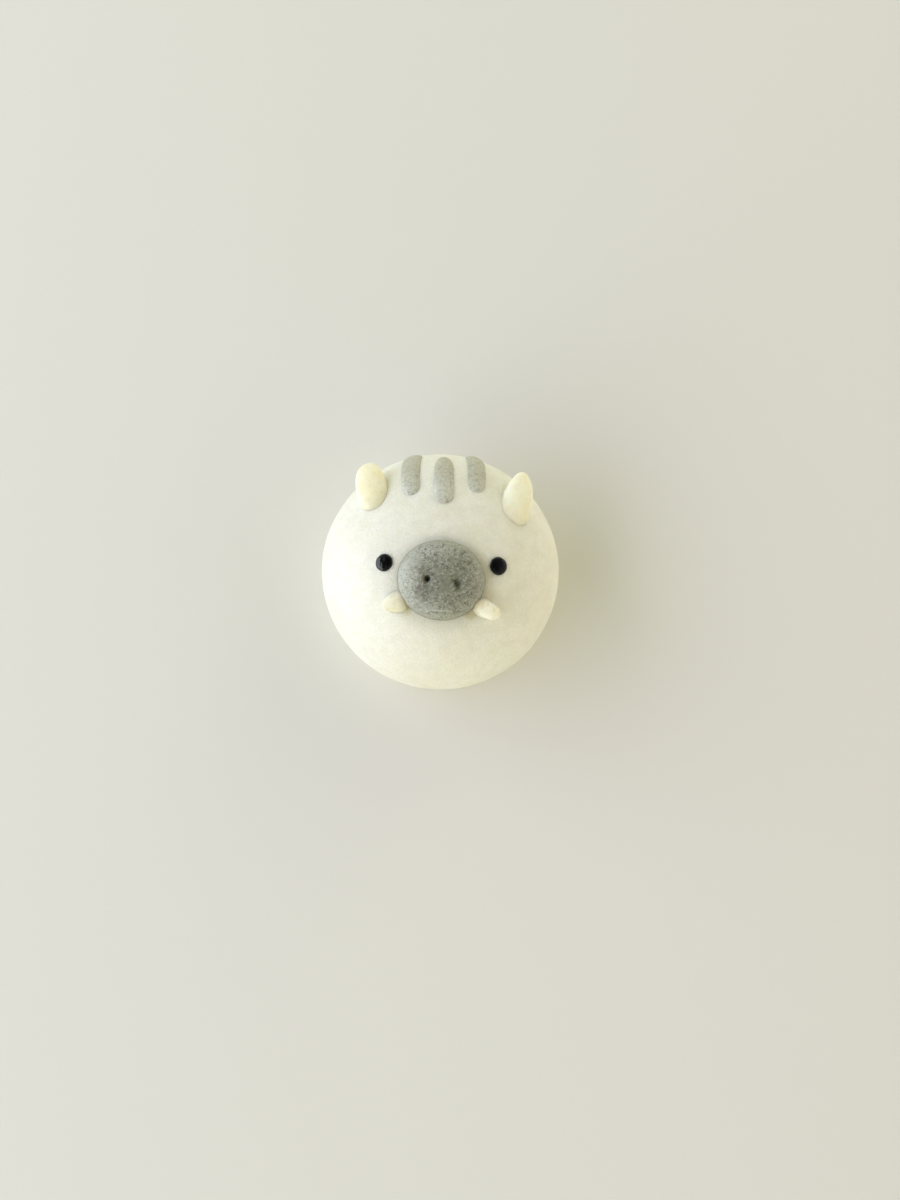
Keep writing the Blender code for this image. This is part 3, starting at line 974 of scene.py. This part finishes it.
# %% Holes and the fold
HOLE_STEEPNESS = 2.6
DENT_DEPTH = 0.22 * MM
DENT_REACH = 2.6
FOLD_RIDGE = 0.3 * MM
FOLD_HEIGHT = 0.10 * MM
fold_axes = turned(snout_axes, PAINTED_FOLD_LINES[0]["turn"])


def nostril_height(point):
    """How far the skin moves at a point near the nostrils."""
    x, y, z = from_snout(point)
    if z < SNOUT_LIFT:
        return 0.0
    height = 0.0
    for nostril in NOSTRILS:
        turn = math.radians(nostril["turn"])
        dx, dy = x - nostril["place"][0], y - nostril["place"][1]
        u = (dx * math.cos(turn) + dy * math.sin(turn)) / nostril["half_size"][0]
        v = (dy * math.cos(turn) - dx * math.sin(turn)) / nostril["half_size"][1]
        reach = math.hypot(u, v)
        height -= nostril["depth"] * math.exp(-reach ** HOLE_STEEPNESS)
        height -= DENT_DEPTH * math.exp(-(reach / DENT_REACH) ** 2)
    return height


def fold_height(point):
    """A thin fold across the snout, just above its lower rim."""
    x, y, z = from_snout(point, fold_axes)
    if z < SNOUT_LIFT:
        return 0.0
    along = abs(x - PAINTED_FOLD_LINES[0]["place"][0]) / PAINTED_FOLD_LINES[0]["half_size"][0]
    across = (y - PAINTED_FOLD_LINES[0]["place"][1]) / FOLD_RIDGE
    return FOLD_HEIGHT * max(0.0, 1.0 - along ** 2) * math.exp(-across ** 2)


print("nostrils", [nostril["depth"] / MM for nostril in NOSTRILS], "mm deep")

# %% The snout
SNOUT_CELLS = 64
SNOUT_FULLNESS = 2.3
NOSTRIL_CUTS = 3
NOSTRIL_REGION = 2.4 * MM

rule = pressed(pad(SNOUT_FULLNESS), snout_middle, snout_axes, SNOUT_HALF_SIZE, SNOUT_PROUD, SNOUT_LIFT)
snout_shape = shaped_ball(SNOUT_CELLS, rule)
swell_skin(snout_shape, uneven((0.09 * MM, 4 * MM, 3), (0.03 * MM, 1.2 * MM, 4)))
swell_skin(snout_shape, fold_height)
for nostril in NOSTRILS:
    middle = Vector(on_snout(*nostril["place"], SNOUT_PROUD))
    close = [edge for edge in snout_shape.edges
             if all((vertex.co - middle).length < NOSTRIL_REGION for vertex in edge.verts)]
    bmesh.ops.subdivide_edges(snout_shape, edges=close, cuts=NOSTRIL_CUTS, use_grid_fill=True)
swell_skin(snout_shape, nostril_height)
make_piece("grey_snout", snout_shape, "snout", grey_dough)

# %% [markdown]
# ## The eyes
# Each eye is a tiny ball of black dough pressed into a domed dot. A flat disc would show
# no window in it, so they are pressed balls like the snout. The right one is a little
# taller, as hand-made things are not alike.

# %% The eyes
EYES = {
    "left": dict(place=mm(-10.4, -2.65), half_size=mm(1.62, 1.66)),
    "right": dict(place=mm(11.0, -3.25), half_size=mm(1.64, 1.74)),
}
EYE_CELLS = 24
EYE_PROUD, EYE_LIFT = 0.95 * MM, 0.15 * MM
EYE_FULLNESS = 2.2

for side, values in EYES.items():
    middle = over(values["place"])
    axes = axes_at(middle, heading(90.0))
    rule = pressed(pad(EYE_FULLNESS), middle, axes, values["half_size"], EYE_PROUD, EYE_LIFT)
    eye_shape = shaped_ball(EYE_CELLS, rule)
    swell_skin(eye_shape, uneven((0.07 * MM, 1.1 * MM, 5)))
    make_piece(f"black_eye_{side}", eye_shape, f"eye_{side}", black_dough)

# %% [markdown]
# ## The stripes
# A young boar's back is striped, and so is this forehead. Each stripe is a strip of pale
# grey dough laid over the crown of the dome, from a round end near the snout to the back
# of the head. A bent tube would sink in or stand off, so each is placed by its two ends,
# and the dome's form gives the way between. A strip is a ball whose middle belt is drawn
# out: its section stays the same all along, and a cap closes each end.

# %% The form of a strip
DRAWN_BELT = 0.5
STRIPE_FULLNESS = 1.5


def strip(half_length, caps, taper):
    """The form of a drawn-out ball, with a cap of its own length at either end."""

    def form(directions):
        x, y, z = directions.T
        cap = np.where(y < 0.0, caps[0], caps[1])
        into_cap = np.maximum(0.0, np.abs(y) - DRAWN_BELT) / (1.0 - DRAWN_BELT)
        narrow = np.maximum(1.0 - y ** 2, NEXT_TO_NOTHING)
        widen = np.sqrt(np.maximum(0.0, 1.0 - into_cap ** 2) / narrow)
        reach = (half_length - cap) * np.minimum(np.abs(y) / DRAWN_BELT, 1.0) + cap * into_cap
        height = plump(z * widen, STRIPE_FULLNESS)
        return np.stack([x * widen * (1.0 - taper * y), np.sign(y) * reach, height], axis=1)

    return form


print(f"{DRAWN_BELT:.0%} of the ball is drawn out, the rest makes its caps")

# %% The stripes
STRIPES = {
    "left": dict(low=mm(-5.45, 10.85), high=mm(-5.15, 22.3), half_width=1.88 * MM,
                 caps=(1.3, 1.8), taper=0.0),
    "middle": dict(low=mm(0.8, 8.8), high=mm(0.7, 21.0), half_width=1.9 * MM,
                   caps=(1.1, 3.3), taper=0.07),
    "right": dict(low=mm(6.95, 11.65), high=mm(6.45, 22.2), half_width=1.83 * MM,
                  caps=(1.3, 1.8), taper=0.0),
}
STRIPE_CELLS = 44
STRIPE_PROUD, STRIPE_LIFT = 0.68 * MM, 0.03 * MM

for side, values in STRIPES.items():
    low = over(values["low"]) - DOME_CENTRE
    high = over(values["high"]) - DOME_CENTRE
    between = low / np.linalg.norm(low) + high / np.linalg.norm(high)
    middle = bun_points((between / np.linalg.norm(between))[None])[0]
    half_length = 0.5 * Vector(low).angle(Vector(high)) * np.linalg.norm(middle - DOME_CENTRE)
    half_width = values["half_width"]
    form = strip(half_length / half_width, values["caps"], values["taper"])
    axes = axes_at(middle, high - low)
    rule = pressed(form, middle, axes, (half_width, half_width), STRIPE_PROUD, STRIPE_LIFT)
    stripe_shape = shaped_ball(STRIPE_CELLS, rule)
    swell_skin(stripe_shape, uneven((0.05 * MM, 2.2 * MM, 6)))
    make_piece(f"grey_stripe_{side}", stripe_shape, f"stripe_{side}", pale_grey_dough)

# %% [markdown]
# ## Eggs of dough
# The ears and tusks are rolled between two fingers into small eggs and stuck on by the
# thick end. An egg could be a plain stretched ball, but a rolled one is made narrower
# towards the tip, its underside is squashed nearly flat, and its thick end goes deeper
# into the head. Pressing it on spreads its foot a little over the skin, and its own skin
# dries in thin wrinkles, which are only in places.

# %% The form of an egg
UPPER_FULLNESS, LOWER_FULLNESS = 2.2, 5.0
ROOT_DEEPER = 0.25
FOOT_HEIGHT, FOOT_SPREAD = 1.0 * MM, 0.3 * MM
PATCH_SIZE, PATCH_LEVEL, PATCH_CONTRAST = 3.5 * MM, 0.5, 1.5
WRINKLE_SIZE, WRINKLE_WIDTH = 1.5 * MM, 0.14


def rolled(values):
    """The rule that sends a ball's directions to an egg stuck on the dome."""
    middle, axes = seat(values)
    half_across, half_along, half_through = values["half_size"]

    def place(directions):
        x, y, z = directions.T
        ring = np.maximum(np.hypot(x, z), NEXT_TO_NOTHING)
        power = np.where(z > 0.0, UPPER_FULLNESS, LOWER_FULLNESS)
        fuller = (np.abs(x / ring) ** power + np.abs(z / ring) ** power) ** (-1.0 / power)
        x, z = x * fuller, z * fuller
        width = 1.0 - values["taper"] * y
        across = x * half_across * width
        along = plump(y, values["blunt"]) * half_along
        through = z * half_through * width * np.where(z > 0.0, 1.0, 1.0 + ROOT_DEEPER * (1.0 - y))
        return middle + np.stack([across, along, through], axis=1) @ axes

    return place


def spread_foot(shape, middle):
    """Spreads a piece out where it meets the skin, but less near its middle."""
    points = np.array([vertex.co for vertex in shape.verts])
    low = np.clip(1.0 - skin_height(points) / FOOT_HEIGHT, 0.0, 1.0) ** 2
    outward = bun_normals(points)
    away = points - middle
    away -= outward * np.sum(away * outward, axis=1)[:, None]
    away /= np.maximum(np.linalg.norm(away, axis=1), MM)[:, None]
    for vertex, move in zip(shape.verts, away * (FOOT_SPREAD * low)[:, None]):
        vertex.co += Vector(move)


def wrinkles(point):
    """How deep the thin wrinkles are at a point: they lie only in patches."""
    depth = max(0.0, PATCH_LEVEL + PATCH_CONTRAST * bumps(point, PATCH_SIZE, 11))
    return depth * math.exp(-(bumps(point, WRINKLE_SIZE, 10) / WRINKLE_WIDTH) ** 2)


print(f"feet spread by {FOOT_SPREAD / MM} mm, wrinkles {WRINKLE_SIZE / MM} mm apart")

# %% [markdown]
# ## Ears and tusks
# Each of the four could be sculpted alone, but two kinds of egg are enough: the ears are
# bigger, so their waves are slower and their wrinkles deeper. Each leans a little out of
# the head, so its tip stands free.

# %% Ears and tusks
EAR = dict(cells=56, wrinkle=0.07 * MM, waves=uneven((0.12 * MM, 3 * MM, 7), (0.05 * MM, MM, 8)))
TUSK = dict(cells=36, wrinkle=0.04 * MM, waves=uneven((0.06 * MM, 1.5 * MM, 9)))

for name, values in CREAM_PIECES.items():
    kind = EAR if name.startswith("ear") else TUSK
    shape = shaped_ball(kind["cells"], rolled(values))
    spread_foot(shape, seat(values)[0])
    swell_skin(shape, lambda point: kind["waves"](point) - kind["wrinkle"] * wrinkles(point))
    make_piece(f"cream_{name}", shape, name, cream_doughs[name])
